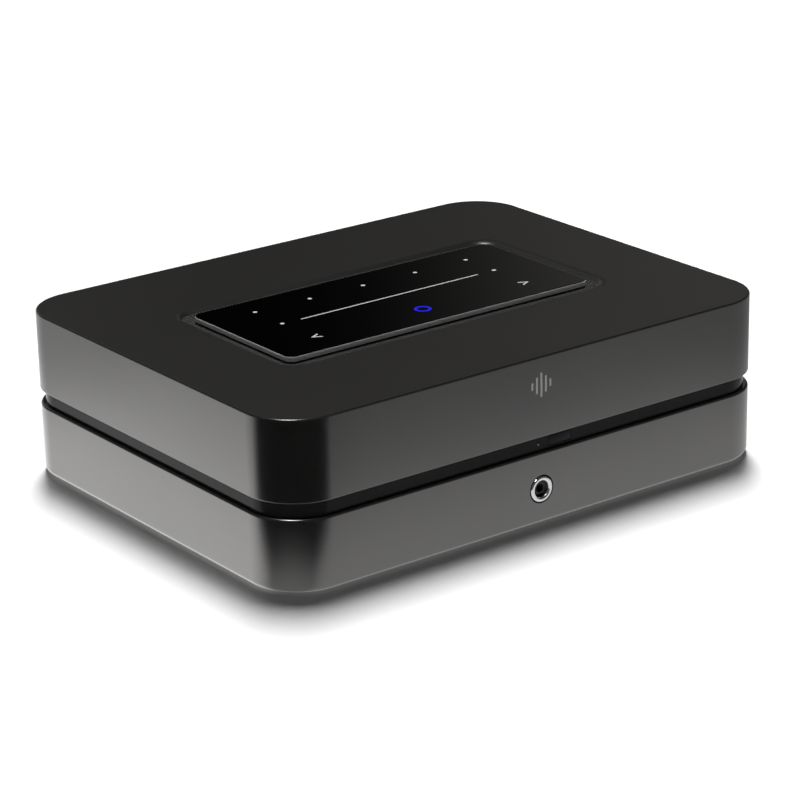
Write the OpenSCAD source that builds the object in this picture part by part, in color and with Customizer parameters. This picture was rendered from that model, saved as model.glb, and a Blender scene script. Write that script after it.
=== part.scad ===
// Compact streaming amplifier with a wireless audio receiver.
// Frame: +X to the right seen from the front, +Y to the back, +Z up.
// Origin: centre of the whole outline seen from above, terminals included, on the plane the
// rubber feet stand on. The parts are drawn round the centre of the case, then moved by centred().

/* [Case] */
// Width of the case
case_w = 250; // [246:1:262]
// Depth of the case
case_d = 193; // [190:1:198]
// Radius of the four upright corners
corner_r = 23; // [20:0.5:26]
// Height of the lower casing
lower_h = 29.9; // [29.6:0.1:30.6]
// Height of the groove between the casings
groove_h = 6.3; // [6:0.1:6.8]
// Height of the upper casing
upper_h = 34.5; // [34:0.1:36]
// Depth of the groove
groove_depth = 2; // [1.2:0.1:2.4]
// Wall thickness of the casings
wall = 3; // [2.6:0.1:3.2]
// Rounding of the bottom edge
bottom_r = 2.5; // [1.5:0.1:2.8]
// Rounding of the top edge
top_r = 0.8; // [0.4:0.1:1.2]

/* [Top well and panel] */
// Length of the well in the top
well_w = 163; // [163:1:166]
// Width of the well in the top
well_d = 82; // [82:1:84]
// Corner radius of the well
well_r = 8; // [6:0.5:9]
// Depth of the well down to the grille
well_depth = 3.4; // [3.2:0.1:4]
// Rounding of the well's rim
rim_r = 2.5; // [1.5:0.1:2.6]
// Length of the touch panel
panel_w = 155; // [151:1:155]
// Width of the touch panel
panel_d = 70; // [67:1:70]
// How far the panel stands above the top
panel_proud = 0.5; // [0:0.1:1]
// Thickness of the panel
panel_t = 2.4; // [2.2:0.1:2.6]
// Pitch of the grille holes
hole_pitch = 4.2; // [4:0.1:4.6]
// Across-corners size of the grille holes
hole_size = 2.2; // [1.8:0.1:2.4]

/* [Front socket] */
// Height of the headphone socket above the table
jack_z = 16; // [15.8:0.1:17]
// Radius of the socket's bright ring
ring_r = 5.5; // [5:0.1:5.8]
// Radius of the socket's bore
jack_bore = 1.8; // [1.78:0.01:1.85]

/* [Speaker terminals] */
// Radius of the terminal knobs
knob_r = 5.8; // [5.4:0.1:6.2]
// Radius of the plug bore in each terminal
plug_r = 2.05; // [2.02:0.01:2.1]

/* [Hidden] */
$fn = 64;
eps = 0.01;                  // overlap of joined shapes

// levels
z_base = 1.2;                // underside of the case, above the feet's soles
z_low = z_base + lower_h;
z_up = z_low + groove_h;
z_top = z_up + upper_h;
deck_t = 3;                  // floor and roof thickness
floor_z = z_base + deck_t;
roof_z = z_top - deck_t;
well_z = z_top - well_depth;
panel_top = z_top + panel_proud;
panel_bot = panel_top - panel_t;
lamp_z = z_low + 3.2;

// case
back_y = case_d/2;
front_y = -case_d/2;
edge_chamfer = 0.4;          // on the casing edges that face the groove
band_inset = 5;              // from the case outline to the inside of the mid band
post_x = case_w/2 - 20;
post_y = case_d/2 - 20;
post_r = 4.2;
foot_x = case_w/2 - 40;
foot_y = case_d/2 - 22;
foot_r = 9;
ir_x = 11;

// well and touch panel
skirt_t = 3;
grille_t = 1.2;
grille_post_x = well_w/2 + 6.4;
grille_screw_y = 26;
touch_size = [128, 44];
touch_r = 3;
touch_z = panel_bot - 1.6;   // underside of the touch board
mark_t = 0.06;               // thickness of the marks on the panel

// boards
board_w = 222;
board_d = 172;
board_z = 12;
board_t = 1.6;
board_top = board_z + board_t;
upper_z = 38.6;
upper_top = upper_z + board_t;
board_hole_r = 1.6;
board_holes = [[-104, -40], [104, -40], [-104, 36], [104, 36], [36, -78]];
spacer_holes = [[-82, 24], [34, 24], [-82, 78], [34, 70]];

// rear connector plate
plate_y = back_y - 3.1;      // outer face
plate_t = 1.5;
plate_z = 34;
behind_plate = -plate_t - 0.1;
row_low = 22;                // heights of the two connector rows
row_high = upper_top + 6.6;
ethernet_x = -70;
usb_x = -44.85;
hdmi_x = -20;
trigger_x = 5;
reset_x = 24;
sub_x = 10;
audio_x = 30;
mains_x = 71;
mains_pin_x = 4.3;           // each pin, from the middle of the inlet

// speaker terminals, y measured from the plate's outer face
terminal_x = [-74, -55, -31, -12];  // left red, left black, right red, right black
insulator_t = 2.5;
stud_r = 3;
collar_r = 4.9;
collar_y = 4.1;
washer_t = 1;
knob_y = collar_y + washer_t;
knob_length = 13;
tip_y = knob_y + 11.2;

// middle of the outline, from the socket ring to the ends of the knobs
ring_proud = 0.5;
y_mid = (front_y - ring_proud + plate_y + knob_y + knob_length)/2;

// ---- placing ----
module centred() { translate([0, -y_mid, 0]) children(); }
module at(points) { for (point = points) translate(point) children(); }
module at_four(x_off, y_off) {
  for (x = [-1, 1], y = [-1, 1]) translate([x*x_off, y*y_off, 0]) children();
}
module on_front(x, z) { translate([x, front_y, z]) children(); }
module on_plate(x, z) { translate([x, plate_y, z]) children(); }
module at_terminals(indices = [0:3]) {
  for (i = indices) on_plate(terminal_x[i], row_low) children();
}

// ---- basic shapes ----
// block centred on x = 0
module block(width, y0, y1, z0, z1) {
  translate([-width/2, y0, z0]) cube([width, y1 - y0, z1 - z0]);
}
module extrude_y(y0, y1) {
  translate([0, y1, 0]) rotate([90, 0, 0]) linear_extrude(y1 - y0) children();
}
module rod(r, y0, y1) {
  translate([0, y1, 0]) rotate([90, 0, 0]) cylinder(r = r, h = y1 - y0);
}
module disc(r, z0, z1) { translate([0, 0, z0]) cylinder(r = r, h = z1 - z0); }
module round_rect(width, depth, r) {
  square([width - 2*r, depth], center = true);
  square([width, depth - 2*r], center = true);
  at_four(width/2 - r, depth/2 - r) circle(r);
}
module slab(width, depth, r, z0, z1) {
  translate([0, 0, z0]) linear_extrude(z1 - z0) round_rect(width, depth, r);
}
module case_slab(inset, z0, z1) {
  slab(case_w - 2*inset, case_d - 2*inset, corner_r - inset, z0, z1);
}
module well_outline(grow = 0) { round_rect(well_w + 2*grow, well_d + 2*grow, well_r + grow); }
module touch_outline(grow = 0) {
  round_rect(touch_size[0] + 2*grow, touch_size[1] + 2*grow, touch_r + grow);
}

// ---- edge profiles carried round a rounded rectangle ----
// the child is a half profile that reaches from 0 to $reach
module sweep(width, depth, r) {
  for (x = [-1, 1], y = [-1, 1]) translate([x*(width/2 - r), y*(depth/2 - r), 0])
    rotate_extrude($fn = 96) let ($reach = r) children();
  rotate([90, 0, 90]) translate([0, 0, -(width/2 - r)]) linear_extrude(width - 2*r)
    let ($reach = depth/2) { children(); mirror([1, 0]) children(); }
  rotate([90, 0, 0]) translate([0, 0, -(depth/2 - r)]) linear_extrude(depth - 2*r)
    let ($reach = width/2) { children(); mirror([1, 0]) children(); }
}
// strip of a profile with a rounded outer corner; side is 1 at a top edge, -1 at a bottom edge
module rounded_edge(r, z_edge, side) {
  z_centre = z_edge - side*r;
  z_start = min(z_edge, z_centre - eps);
  translate([0, z_start]) square([$reach - r, r + eps]);
  intersection() {
    translate([$reach - r, z_centre]) circle(r);
    translate([$reach - r - eps, z_start]) square(r + eps);
  }
}
module lower_profile() {
  polygon([[0, z_base + bottom_r], [$reach, z_base + bottom_r], [$reach, z_low - edge_chamfer],
    [$reach - edge_chamfer, z_low], [0, z_low]]);
  rounded_edge(bottom_r, z_base, -1);
}
module upper_profile() {
  polygon([[0, z_up], [$reach - edge_chamfer, z_up], [$reach, z_up + edge_chamfer],
    [$reach, z_top - top_r], [0, z_top - top_r]]);
  rounded_edge(top_r, z_top, 1);
}
module well_profile() {
  translate([0, well_z - 1]) square([$reach, well_depth + 2]);
  difference() {
    translate([$reach - eps, z_top - rim_r]) square([rim_r + eps, rim_r + 1]);
    translate([$reach + rim_r, z_top - rim_r]) circle(rim_r);
  }
}
module panel_profile() {
  edge_r = 1;
  translate([0, panel_bot]) square([$reach, panel_t - edge_r]);
  rounded_edge(edge_r, panel_top, 1);
}

// ---- casings ----
module rear_window(grow = 0) {
  translate([0, 0, plate_z]) extrude_y(80, 120) round_rect(176 + 2*grow, 50 + 2*grow, 3);
}
module top_shell() color("#2c2b29") {
  difference() {
    sweep(case_w, case_d, corner_r) upper_profile();
    case_slab(wall, z_up - 1, roof_z);
    sweep(well_w, well_d, well_r) well_profile();
    rear_window();
  }
  // skirt of the well
  difference() {
    translate([0, 0, well_z]) linear_extrude(roof_z + eps - well_z) well_outline(skirt_t);
    translate([0, 0, well_z - 1]) linear_extrude(roof_z + 2 - well_z) well_outline();
  }
  // screw posts
  at_four(post_x, post_y) difference() {
    disc(post_r, z_low + 0.6, roof_z + eps);
    disc(1.55, z_low - 1, z_low + 21);
  }
  // grille posts
  at_four(grille_post_x, grille_screw_y) difference() {
    disc(3, well_z, roof_z + eps);
    disc(1, well_z - 1, well_z + 1.4);
  }
}
module bottom_shell() color("#3a3a39") {
  screw_hole_r = 1.7;
  slot_pitch = 8;
  difference() {
    sweep(case_w, case_d, corner_r) lower_profile();
    case_slab(wall, floor_z, z_low + 1);
    rear_window();
    on_front(0, jack_z) rod(6, -1, wall + 1);
    // screw holes and the seats of their heads
    at_four(post_x, post_y) {
      disc(3.4, z_base - 1, z_base + 2.2);
      disc(screw_hole_r, z_base - 1, z_base + 8);
    }
    // air slots in the floor
    for (i = [-7:7]) translate([i*slot_pitch, 4, z_base - 1])
      linear_extrude(5) round_rect(2.4, 46, 1.19);
    // seats of the feet
    at_four(foot_x, foot_y) disc(foot_r + 0.1, z_base - 1, z_base + 0.8);
  }
  // screw posts
  at_four(post_x, post_y) difference() {
    disc(post_r, floor_z - eps, z_low + 0.5 - eps);
    disc(screw_hole_r, z_base, z_base + z_low);
  }
  // posts of the lower board
  at(board_holes) difference() {
    disc(3.2, floor_z - eps, board_z);
    disc(1.25, floor_z + 1, floor_z + 11);
  }
}
// outer band in the groove, and a taller one that fits inside both casings
module mid_band() color("#151515") difference() {
  union() {
    difference() {
      case_slab(groove_depth, z_low, z_up);
      case_slab(band_inset, z_low - 1, z_up + 1);
    }
    difference() {
      case_slab(wall + 0.15, z_low - 3, z_up + 3);
      case_slab(band_inset, z_low - 4, z_up + 4);
    }
  }
  rear_window(4.5);
  on_front(ir_x, 0) block(12, -1, 6, z_low + 1, z_up - 1);
  on_front(0, lamp_z) rod(0.45, 0, 6);
}
module status_lamp() color("#cfd3da") on_front(0, lamp_z) rod(0.43, groove_depth - 0.05, 5);
module ir_window() color("#1c2030") on_front(ir_x, 0)
  block(11.8, groove_depth - 0.05, 4.2, z_low + 1.1, z_up - 1.1);
module ir_receiver() color("#101014") on_front(ir_x, 0) {
  lead_pitch = 2.54;
  block(8, 8, 12, z_low, z_low + 5.5);
  translate([0, 0, z_low + 3]) rod(2.4, 6.2, 8.2);
  for (i = [-1:1]) translate([i*lead_pitch, 0, 0])
    block(0.6, 10, 10.5, board_top, z_low + 0.5);
}
// a small generic level-meter sign
module front_emblem() color("#b9b6ae") {
  bar_pitch = 2.3;
  bar_heights = [3.2, 7, 10.2, 7, 3.2];
  for (i = [0:4]) on_front((i - 2)*bar_pitch, z_top - 11.7)
    extrude_y(-0.1, 0) round_rect(0.9, bar_heights[i], 0.44);
}
module rubber_feet() color("#1b1b1b") at_four(foot_x, foot_y) {
  taper_h = 0.6;
  cylinder(r1 = 8.4, r2 = foot_r, h = taper_h);
  disc(foot_r, taper_h, z_base + 0.8);
}
module case_screws() color("#8d8f92") at_four(post_x, post_y) difference() {
  union() {
    disc(2.9, z_base + 0.2, z_base + 2.1);
    disc(1.5, z_base + 2, z_base + 46);
  }
  translate([0, 0, z_base - 1]) cylinder(r = 1.25, h = 2.4, $fn = 6);
}

// ---- well, grille and touch panel ----
module grille_hole(x, y) { translate([x, y]) circle(d = hole_size, $fn = 6); }
// one rectangle of holes; the side columns leave out the corners
module hole_frame(width, depth) {
  count_x = floor(width/hole_pitch);
  count_y = floor(depth/hole_pitch);
  for (i = [0:count_x - 1], side = [-1, 1])
    grille_hole((i - (count_x - 1)/2)*hole_pitch, side*depth/2);
  for (i = [1:count_y - 2], side = [-1, 1])
    grille_hole(side*width/2, (i - (count_y - 1)/2)*hole_pitch);
}
module vent_grille() color("#1a1a1a") {
  frame_step = 2.9;
  translate([0, 0, well_z - grille_t]) linear_extrude(grille_t) difference() {
    well_outline(2.8);
    touch_outline(1);
    for (i = [0:1]) hole_frame(panel_w + 1 + 2*i*frame_step, panel_d + 1 + 2*i*frame_step);
    at_four(62, grille_screw_y) circle(1.3);
  }
  // lugs under the grille posts
  for (x = [-1, 1], y = [-1, 1])
    translate([x*grille_post_x, y*grille_screw_y, well_z - grille_t])
      linear_extrude(grille_t) difference() {
        union() {
          circle(3);
          translate([-x*5.5, 0]) square([9, 5.4], center = true);
        }
        circle(1.1);
      }
}
module panel_carrier() color("#121212") difference() {
  slab(panel_w - 8, panel_d - 7, 3, well_z, panel_bot);
  translate([0, 0, well_z - 1]) linear_extrude(panel_bot - well_z + 2) touch_outline(0.7);
}
module touch_board() color("#0f3d2a")
  translate([0, 0, touch_z]) linear_extrude(panel_bot - touch_z) touch_outline();
module touch_panel() color("#050505") sweep(panel_w, panel_d, 4) panel_profile();
// arrowhead that points to +x for side = 1, to -x for side = -1
module chevron(side) {
  polygon([[side*2.4, 0], [-side*2, 2.3], [-side*2, 1.4],
    [side*0.9, 0], [-side*2, -1.4], [-side*2, -2.3]]);
}
module panel_icons() color("#d8d8d8") translate([0, 0, panel_top]) linear_extrude(mark_t) {
  dot_pitch = 27.6;
  dot_r = 0.95;
  for (i = [-2:2]) translate([i*dot_pitch, 21.1]) circle(dot_r);
  for (side = [-1, 1]) {
    translate([side*2*dot_pitch, 1.7]) circle(dot_r);
    translate([side*54, -20.2]) chevron(side);
  }
  translate([0, 1.4]) round_rect(92.4, 0.7, 0.34);
}
module status_ring() color("#1616d0")
  translate([0, -20.3, panel_top]) linear_extrude(mark_t) difference() {
    circle(3.65);
    circle(2.4);
  }
// cable from the touch board down to a connector on the upper board
module ribbon_cable() color("#c9c7bd") {
  cable_x = -60;
  cable_w = 12;
  plug_top = upper_top + 4;
  rotate([90, 0, 90]) translate([0, 0, cable_x]) linear_extrude(cable_w)
    polygon([  // y, z
      [20, touch_z], [20, 50], [26, 46], [26, plug_top + 0.05],
      [26.3, plug_top + 0.05], [26.3, 46.15], [20.3, 50.15], [20.3, touch_z]]);
  color("#e8e4d8") translate([cable_x + cable_w/2, 0, 0])
    block(cable_w + 2, 24.5, 29, upper_top, plug_top);
}

// ---- front socket ----
module headphone_ring() color("#d7d9db") on_front(0, jack_z) rotate([90, 0, 0]) difference() {
  sleeve = 2.6;  // length inside the wall
  bore_r = 3.5;
  union() {
    disc(ring_r - 0.35, -sleeve, 0.25);
    disc(ring_r, -sleeve, 0);
    cylinder(r1 = ring_r, r2 = ring_r - 0.5, h = ring_proud);
  }
  disc(bore_r, -3, 2);
  translate([0, 0, -0.3]) cylinder(r1 = bore_r, r2 = 4.4, h = 0.9);
}
module headphone_jack() color("#0d0d0d") on_front(0, jack_z) difference() {
  union() {
    rod(3.4, 1.2, 4);
    block(12, 3.4, 17.5, board_top - jack_z, 4.4);
    rod(5, 2.8, 4);
  }
  rod(jack_bore, 0, 15.2);
  // nothing reaches below the board's top
  block(20, 0, 20, -jack_z, board_top - jack_z);
}

// ---- boards ----
module lower_board() color("#14402c")
  translate([0, 0, board_z]) linear_extrude(board_t) difference() {
    square([board_w, board_d], center = true);
    at_four(board_w/2, board_d/2) square([30, 34], center = true);
    at(board_holes) circle(board_hole_r);
    at(spacer_holes) circle(board_hole_r);
    translate([0, board_d/2]) square([190, 8], center = true);
  }
module upper_board() color("#14402c")
  translate([0, 0, upper_z]) linear_extrude(board_t) difference() {
    translate([-24, 52.5]) square([124, 69], center = true);
    at(spacer_holes) circle(board_hole_r);
  }
screw_head_r = 2.7;
screw_head_h = 1.8;
// screw with a hexagonal recess, its head standing on head_z
module socket_screw(head_z, shank_r, shank_z0, shank_z1) difference() {
  union() {
    disc(screw_head_r, head_z, head_z + screw_head_h);
    disc(shank_r, shank_z0, shank_z1);
  }
  translate([0, 0, head_z + 0.9]) cylinder(r = 1.2, h = 2, $fn = 6);
}
module board_screws() color("#b4b6b8")
  at(board_holes) socket_screw(board_top, 1.2, board_z - 5.5, board_z + 1.7);
module board_spacers() color("#c8a850") at(spacer_holes) difference() {
  thread_r = 1.3;
  translate([0, 0, board_top]) cylinder(r = 2.9, h = upper_z - board_top, $fn = 6);
  disc(thread_r, board_top - 1, board_top + 7);
  disc(thread_r, upper_z - 7, upper_z + 1);
}
// one screw from above and one from below into each spacer
module spacer_screws() color("#b4b6b8") at(spacer_holes) {
  shank_r = 1.25;
  socket_screw(upper_top, shank_r, upper_z - 6, upper_top + eps);
  disc(screw_head_r, board_z - screw_head_h, board_z);
  disc(shank_r, board_z - eps, board_z - eps + 7);
}

// ---- parts on the boards ----
module streamer_module() color("#a9abad") translate([-48, 48, upper_top]) difference() {
  can_t = 0.4;
  can_w = 36;
  can_y = 14;  // half the depth
  can_h = 3.6;
  block(can_w, -can_y, can_y, 0, can_h);
  block(can_w - 2*can_t, -can_y + can_t, can_y - can_t, -1, can_h - can_t);
  for (i = [0:5], j = [-1:1]) translate([-12 + i*5, j*6, 3]) cylinder(r = 0.8, h = 2, $fn = 8);
}
module wireless_antennas() color("#1d4a34") for (side = [-1, 1])
  translate([side*(case_w/2 - 5.6), 0, 0]) block(0.8, -22, 22, z_low - 2.5, z_up + 2);
sink_z = 17.2;  // underside of the heat sink, top of the chips
module heat_sink() color("#9a9c9e") {
  sink_w = 88;
  fin_t = 2;
  fin_pitch = 6.14;
  translate([-18, 0, 0]) {
    block(sink_w, -62, 8, sink_z, 22);
    for (i = [0:14]) translate([-sink_w/2 + fin_t/2 + i*fin_pitch, 0, 0])
      block(fin_t, -62, 8, 21.9, 54);
  }
}
module amplifier_chips() color("#161616")
  at([[-40, -33], [4, -33]]) block(18, -9, 9, board_top, sink_z);
transformer_place = [73, -43, board_top];
limb_w = 10;        // also the width of the two windows
core_d = 34;
module transformer_core() color("#3b3b3e") translate(transformer_place) difference() {
  block(42, -core_d/2, core_d/2, 1, 33);
  for (side = [-1, 1]) translate([side*limb_w, 0, 0])
    block(limb_w, -core_d/2 - 1, core_d/2 + 1, 6, 28);
}
module transformer_winding() color("#d9b84a") translate(transformer_place) difference() {
  slab(29.6, 46, 6, 6.2, 27.8);
  translate([0, 0, 5]) linear_extrude(24) square([limb_w + 0.4, core_d + 0.4], center = true);
}
module filter_capacitors() color("#20242c")
  at([for (p = [[56, 0], [77, 0], [98, 0], [56, 21], [77, 21]]) [p[0], p[1], board_top]]) {
    can_r = 9;
    disc(can_r, 0, 1.4);
    disc(can_r - 0.4, 1.4, 2.4);
    disc(can_r, 2.4, 34.4);
  }
module line_choke() color("#7a3b1e") translate([62, 56, board_top + 6.5])
  rotate_extrude() translate([9, 0]) circle(6.4, $fn = 32);
module fuse() color("#d8d4c8") translate([91, 57, board_top]) {
  block(10, -11, 11, 0, 2);
  translate([0, 0, 5.2]) rod(3.1, -10, 10);
  block(5, -9, 9, 1.9, 3.5);
}
module output_inductors() color("#2a2a2d")
  for (x = terminal_x) translate([x, 62, board_top]) {
    slab(13, 13, 2, 0, 11);
    disc(4.5, 10.9, 11.9);
  }

// ---- rear connector plate ----
round_openings = [  // x, z, radius
  [sub_x, row_low, 5.2], [audio_x, row_low, 4],
  [trigger_x, row_high, 4], [reset_x, row_high, 2.1]];
square_openings = [  // x, width, bottom z, top z
  [ethernet_x, 16.4, upper_top, row_high + 7],
  [usb_x, 13.9, upper_top + 1.3, upper_top + 8.4],
  [hdmi_x, 15.6, upper_top + 0.8, upper_top + 7.2],
  [mains_x, 22.4, row_low - 6.4, row_low + 6.4]];
module rear_panel() color("#1f1f20") difference() {
  on_plate(0, plate_z) extrude_y(-plate_t, 0) round_rect(183, 57, 2);
  at_terminals() rod(4.1, -4, 2);
  for (hole = round_openings) on_plate(hole[0], hole[1]) rod(hole[2], -4, 2);
  for (hole = square_openings) on_plate(hole[0], 0) block(hole[1], -4, 2, hole[2], hole[3]);
  // row of upright slots
  for (i = [0:9]) on_plate(44 + i*4, row_high) extrude_y(-3, 1) round_rect(1.8, 16, 0.89);
}
module ethernet_port() color("#b9bbbd") on_plate(ethernet_x, upper_top) difference() {
  block(16, -20, 0.4, 0, 13.4);
  block(12, -15, 1, 3.2, 10);
  block(6, -15, 1, 1.4, 4);
}
module usb_port() color("#c2c4c6") on_plate(usb_x, upper_top) {
  difference() {
    block(13.5, -17, 0.6, 0, 8.2);
    block(12.5, -14, 1, 2.2, 7.5);
    block(17, -1.6, 1, -1, 1.5);  // clears the plate below the opening
  }
  block(10.3, -14.5, -0.6, 5, 6.8);
}
module hdmi_port() color("#bfc1c3") on_plate(hdmi_x, upper_top) {
  difference() {
    block(15.2, -12, 0.5, 0, 7);
    extrude_y(-10, 1)
      polygon([[-7, 6.4], [7, 6.4], [7, 3.6], [5.2, 1.8], [-5.2, 1.8], [-7, 3.6]]);
    block(16, -1.6, 1, -1, 1);    // clears the plate below the opening
  }
  block(11, -10.5, -1, 3.7, 4.9);
}
// round socket whose body stands on the board at board_level
module small_jack(x, z, board_level) on_plate(x, z) difference() {
  union() {
    rod(3.9, -3, 0.6);
    block(11, -15, behind_plate, board_level - z, 5);
  }
  rod(1.8, -13, 2);
}
module audio_input_jack() color("#161616") small_jack(audio_x, row_low, board_top);
module trigger_jack() color("#161616") small_jack(trigger_x, row_high, upper_top);
module sub_socket_barrel() color("#caa64a") on_plate(sub_x, row_low) difference() {
  union() {
    rod(5.1, -2.4, 0.6);
    rod(4.15, 0, 9);
    block(13, -12, behind_plate, board_top - row_low, 6.5);
  }
  rod(3.2, -9, 10);
}
module sub_socket_core() color("#f0f0ec") on_plate(sub_x, row_low) difference() {
  rod(3.18, -9, 8.4);
  rod(1.62, -6.6, 9);
}
module at_mains_pins() { for (side = [-1, 1]) translate([side*mains_pin_x, 0, 0]) children(); }
module mains_inlet() color("#141414") on_plate(mains_x, row_low) difference() {
  union() {
    block(22, -18, 0.8, -6.2, 6.2);
    block(14, -18, -8, board_top - row_low, -6);
  }
  extrude_y(-11, 2) {
    at_mains_pins() circle(4.4);
    square([2*mains_pin_x, 7], center = true);
  }
  at_mains_pins() rod(1.2, -16, 0);
}
module mains_pins() color("#c9cbcd")
  on_plate(mains_x, row_low) at_mains_pins() rod(1.18, -15.8, -2);
module reset_switch() color("#333436")
  on_plate(reset_x, row_high) block(6.4, -11, -6.2, upper_top - row_high, 3.2);
module reset_button() color("#c7c7c4") on_plate(reset_x, row_high) {
  rod(2, -5.2, 1.2);
  rod(2.9, -3.4, -2.2);
}

// ---- speaker terminals ----
module insulator() difference() {
  union() {
    rod(6.6, 0, insulator_t);
    rod(4, -4, 1);
  }
  rod(stud_r + 0.02, -5, 3);
}
module post_insulators_red() color("#a01818") at_terminals([0, 2]) insulator();
module post_insulators_black() color("#161616") at_terminals([1, 3]) insulator();
module post_studs() color("#caa64a") at_terminals() difference() {
  union() {
    rod(stud_r, -12, tip_y - 0.2);
    rod(collar_r, insulator_t, collar_y);
  }
  rod(plug_r, tip_y - 15.2, tip_y + 1);
}
module post_nuts() color("#caa64a") at_terminals() difference() {
  rod(4.6, -6.4, -4);
  rod(stud_r + 0.02, -7, -3);
}
// round knob with a twelve-sided grip
module knob(i) at_terminals([i]) rotate([-90, 0, 0]) difference() {
  union() {
    disc(knob_r - 0.9, knob_y, knob_y + knob_length);
    translate([0, 0, knob_y + 1.2]) cylinder(r = knob_r, h = 10, $fn = 12);
  }
  disc(stud_r + 0.05, knob_y - 1, tip_y);
  disc(2.7, knob_y + 10, knob_y + 15);
}
module knob_left_red() color("#b01c1c") knob(0);
module knob_left_black() color("#191919") knob(1);
module knob_right_red() color("#b01c1c") knob(2);
module knob_right_black() color("#191919") knob(3);
module washer(i) at_terminals([i]) rotate([-90, 0, 0]) difference() {
  disc(collar_r, collar_y, knob_y);
  disc(stud_r + 0.06, collar_y - 1, collar_y + 2);
}
module washer_left_red() color("#caa64a") washer(0);
module washer_left_black() color("#caa64a") washer(1);
module washer_right_red() color("#caa64a") washer(2);
module washer_right_black() color("#caa64a") washer(3);

// ---- parts ----
centred() top_shell();
centred() vent_grille();
centred() touch_panel();
centred() panel_icons();
centred() status_ring();
centred() panel_carrier();
centred() touch_board();
centred() ribbon_cable();
centred() mid_band();
centred() status_lamp();
centred() ir_window();
centred() ir_receiver();
centred() front_emblem();
centred() bottom_shell();
centred() rubber_feet();
centred() case_screws();
centred() headphone_ring();
centred() headphone_jack();
centred() lower_board();
centred() board_screws();
centred() upper_board();
centred() board_spacers();
centred() spacer_screws();
centred() streamer_module();
centred() wireless_antennas();
centred() heat_sink();
centred() amplifier_chips();
centred() transformer_core();
centred() transformer_winding();
centred() filter_capacitors();
centred() line_choke();
centred() fuse();
centred() output_inductors();
centred() mains_inlet();
centred() mains_pins();
centred() rear_panel();
centred() ethernet_port();
centred() usb_port();
centred() hdmi_port();
centred() audio_input_jack();
centred() trigger_jack();
centred() sub_socket_barrel();
centred() sub_socket_core();
centred() reset_switch();
centred() reset_button();
centred() post_insulators_red();
centred() post_insulators_black();
centred() post_studs();
centred() post_nuts();
centred() knob_left_red();
centred() knob_left_black();
centred() knob_right_red();
centred() knob_right_black();
centred() washer_left_red();
centred() washer_left_black();
centred() washer_right_red();
centred() washer_right_black();
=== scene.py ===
"""A flat desktop amplifier: a two-part rounded metal case with a dark groove between the parts,
a well in the top holding a perforated plate and a glass touch panel, a headphone socket in
front, and speaker terminals and sockets behind.

The pieces are modelled in millimetres about the case centre, x to the right, y from the front
(-y) to the rear (+y), z up from the table, and are moved into the scene's metres at the end.
"""
import bpy, bmesh, math
from mathutils import Vector, Matrix


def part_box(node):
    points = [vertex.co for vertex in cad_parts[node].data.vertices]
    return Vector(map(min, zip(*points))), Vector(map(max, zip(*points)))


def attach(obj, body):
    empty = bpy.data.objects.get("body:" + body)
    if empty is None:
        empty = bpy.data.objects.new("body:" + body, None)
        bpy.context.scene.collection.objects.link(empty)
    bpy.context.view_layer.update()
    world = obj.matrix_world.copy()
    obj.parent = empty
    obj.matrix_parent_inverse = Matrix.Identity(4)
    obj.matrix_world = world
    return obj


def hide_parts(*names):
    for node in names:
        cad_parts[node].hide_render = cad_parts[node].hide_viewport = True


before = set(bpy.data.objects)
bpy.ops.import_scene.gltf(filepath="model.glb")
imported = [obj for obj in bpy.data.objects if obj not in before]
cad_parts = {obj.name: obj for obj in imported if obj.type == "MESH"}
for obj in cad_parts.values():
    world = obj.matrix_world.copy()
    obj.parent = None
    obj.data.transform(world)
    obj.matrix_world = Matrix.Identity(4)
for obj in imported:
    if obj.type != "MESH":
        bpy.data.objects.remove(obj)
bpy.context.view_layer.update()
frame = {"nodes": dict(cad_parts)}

scene = bpy.context.scene

# ------------------------------------------------------------------ driving dimensions (mm)
MM = 0.001            # one millimetre in metres
CENTRE_Y = -7.25      # scene y of the case centre


def box_mm(node):
    """Low and high corner of a CAD node, measured from the case centre."""
    lo, hi = [[v / MM for v in corner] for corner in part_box(node)]
    lo[1] -= CENTRE_Y
    hi[1] -= CENTRE_Y
    return lo, hi


def middle(node, axis=0):
    lo, hi = box_mm(node)
    return (lo[axis] + hi[axis]) / 2


lower_lo, lower_hi = box_mm("bottom_shell")
panel_lo, panel_hi = box_mm("touch_panel")
WIDTH, DEPTH = lower_hi[0] - lower_lo[0], lower_hi[1] - lower_lo[1]
FRONT = -DEPTH / 2
WALL = 3.0
GROOVE = 6.3                              # height of the gap between the casings
BASE_Z, GROOVE_LO = lower_lo[2], lower_hi[2]
GROOVE_HI = GROOVE_LO + GROOVE
TOP_Z = box_mm("top_shell")[1][2]
VENT_Z = box_mm("vent_grille")[1][2]
PLATE_Y = box_mm("rear_panel")[1][1]      # outer face of the rear panel
ring_lo, ring_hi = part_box("headphone_ring")
PHONES_Z = (ring_lo[2] + ring_hi[2]) / 2 / MM
# rounded rectangles: width, depth, corner radius
CASE = (WIDTH, DEPTH, 23.0)
WELL = (163.0, 82.0, 8.0)
PANEL = (panel_hi[0] - panel_lo[0], panel_hi[1] - panel_lo[1], 4.0)
LOW_ROW_Z = 22.0      # middle of the lower row of rear sockets
HIGH_ROW_Z = 40.2     # underside of the upper row of rear sockets
AXIS = 0.001          # radius that stands for the axis in turned outlines


# ------------------------------------------------------------------ outlines and bmeshes (mm)
def arc(cx, cy, r, start, end, n=6):
    """n + 1 points of an arc, angles in degrees."""
    angles = [math.radians(start + (end - start) * i / n) for i in range(n + 1)]
    return [(cx + r * math.cos(a), cy + r * math.sin(a)) for a in angles]


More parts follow.
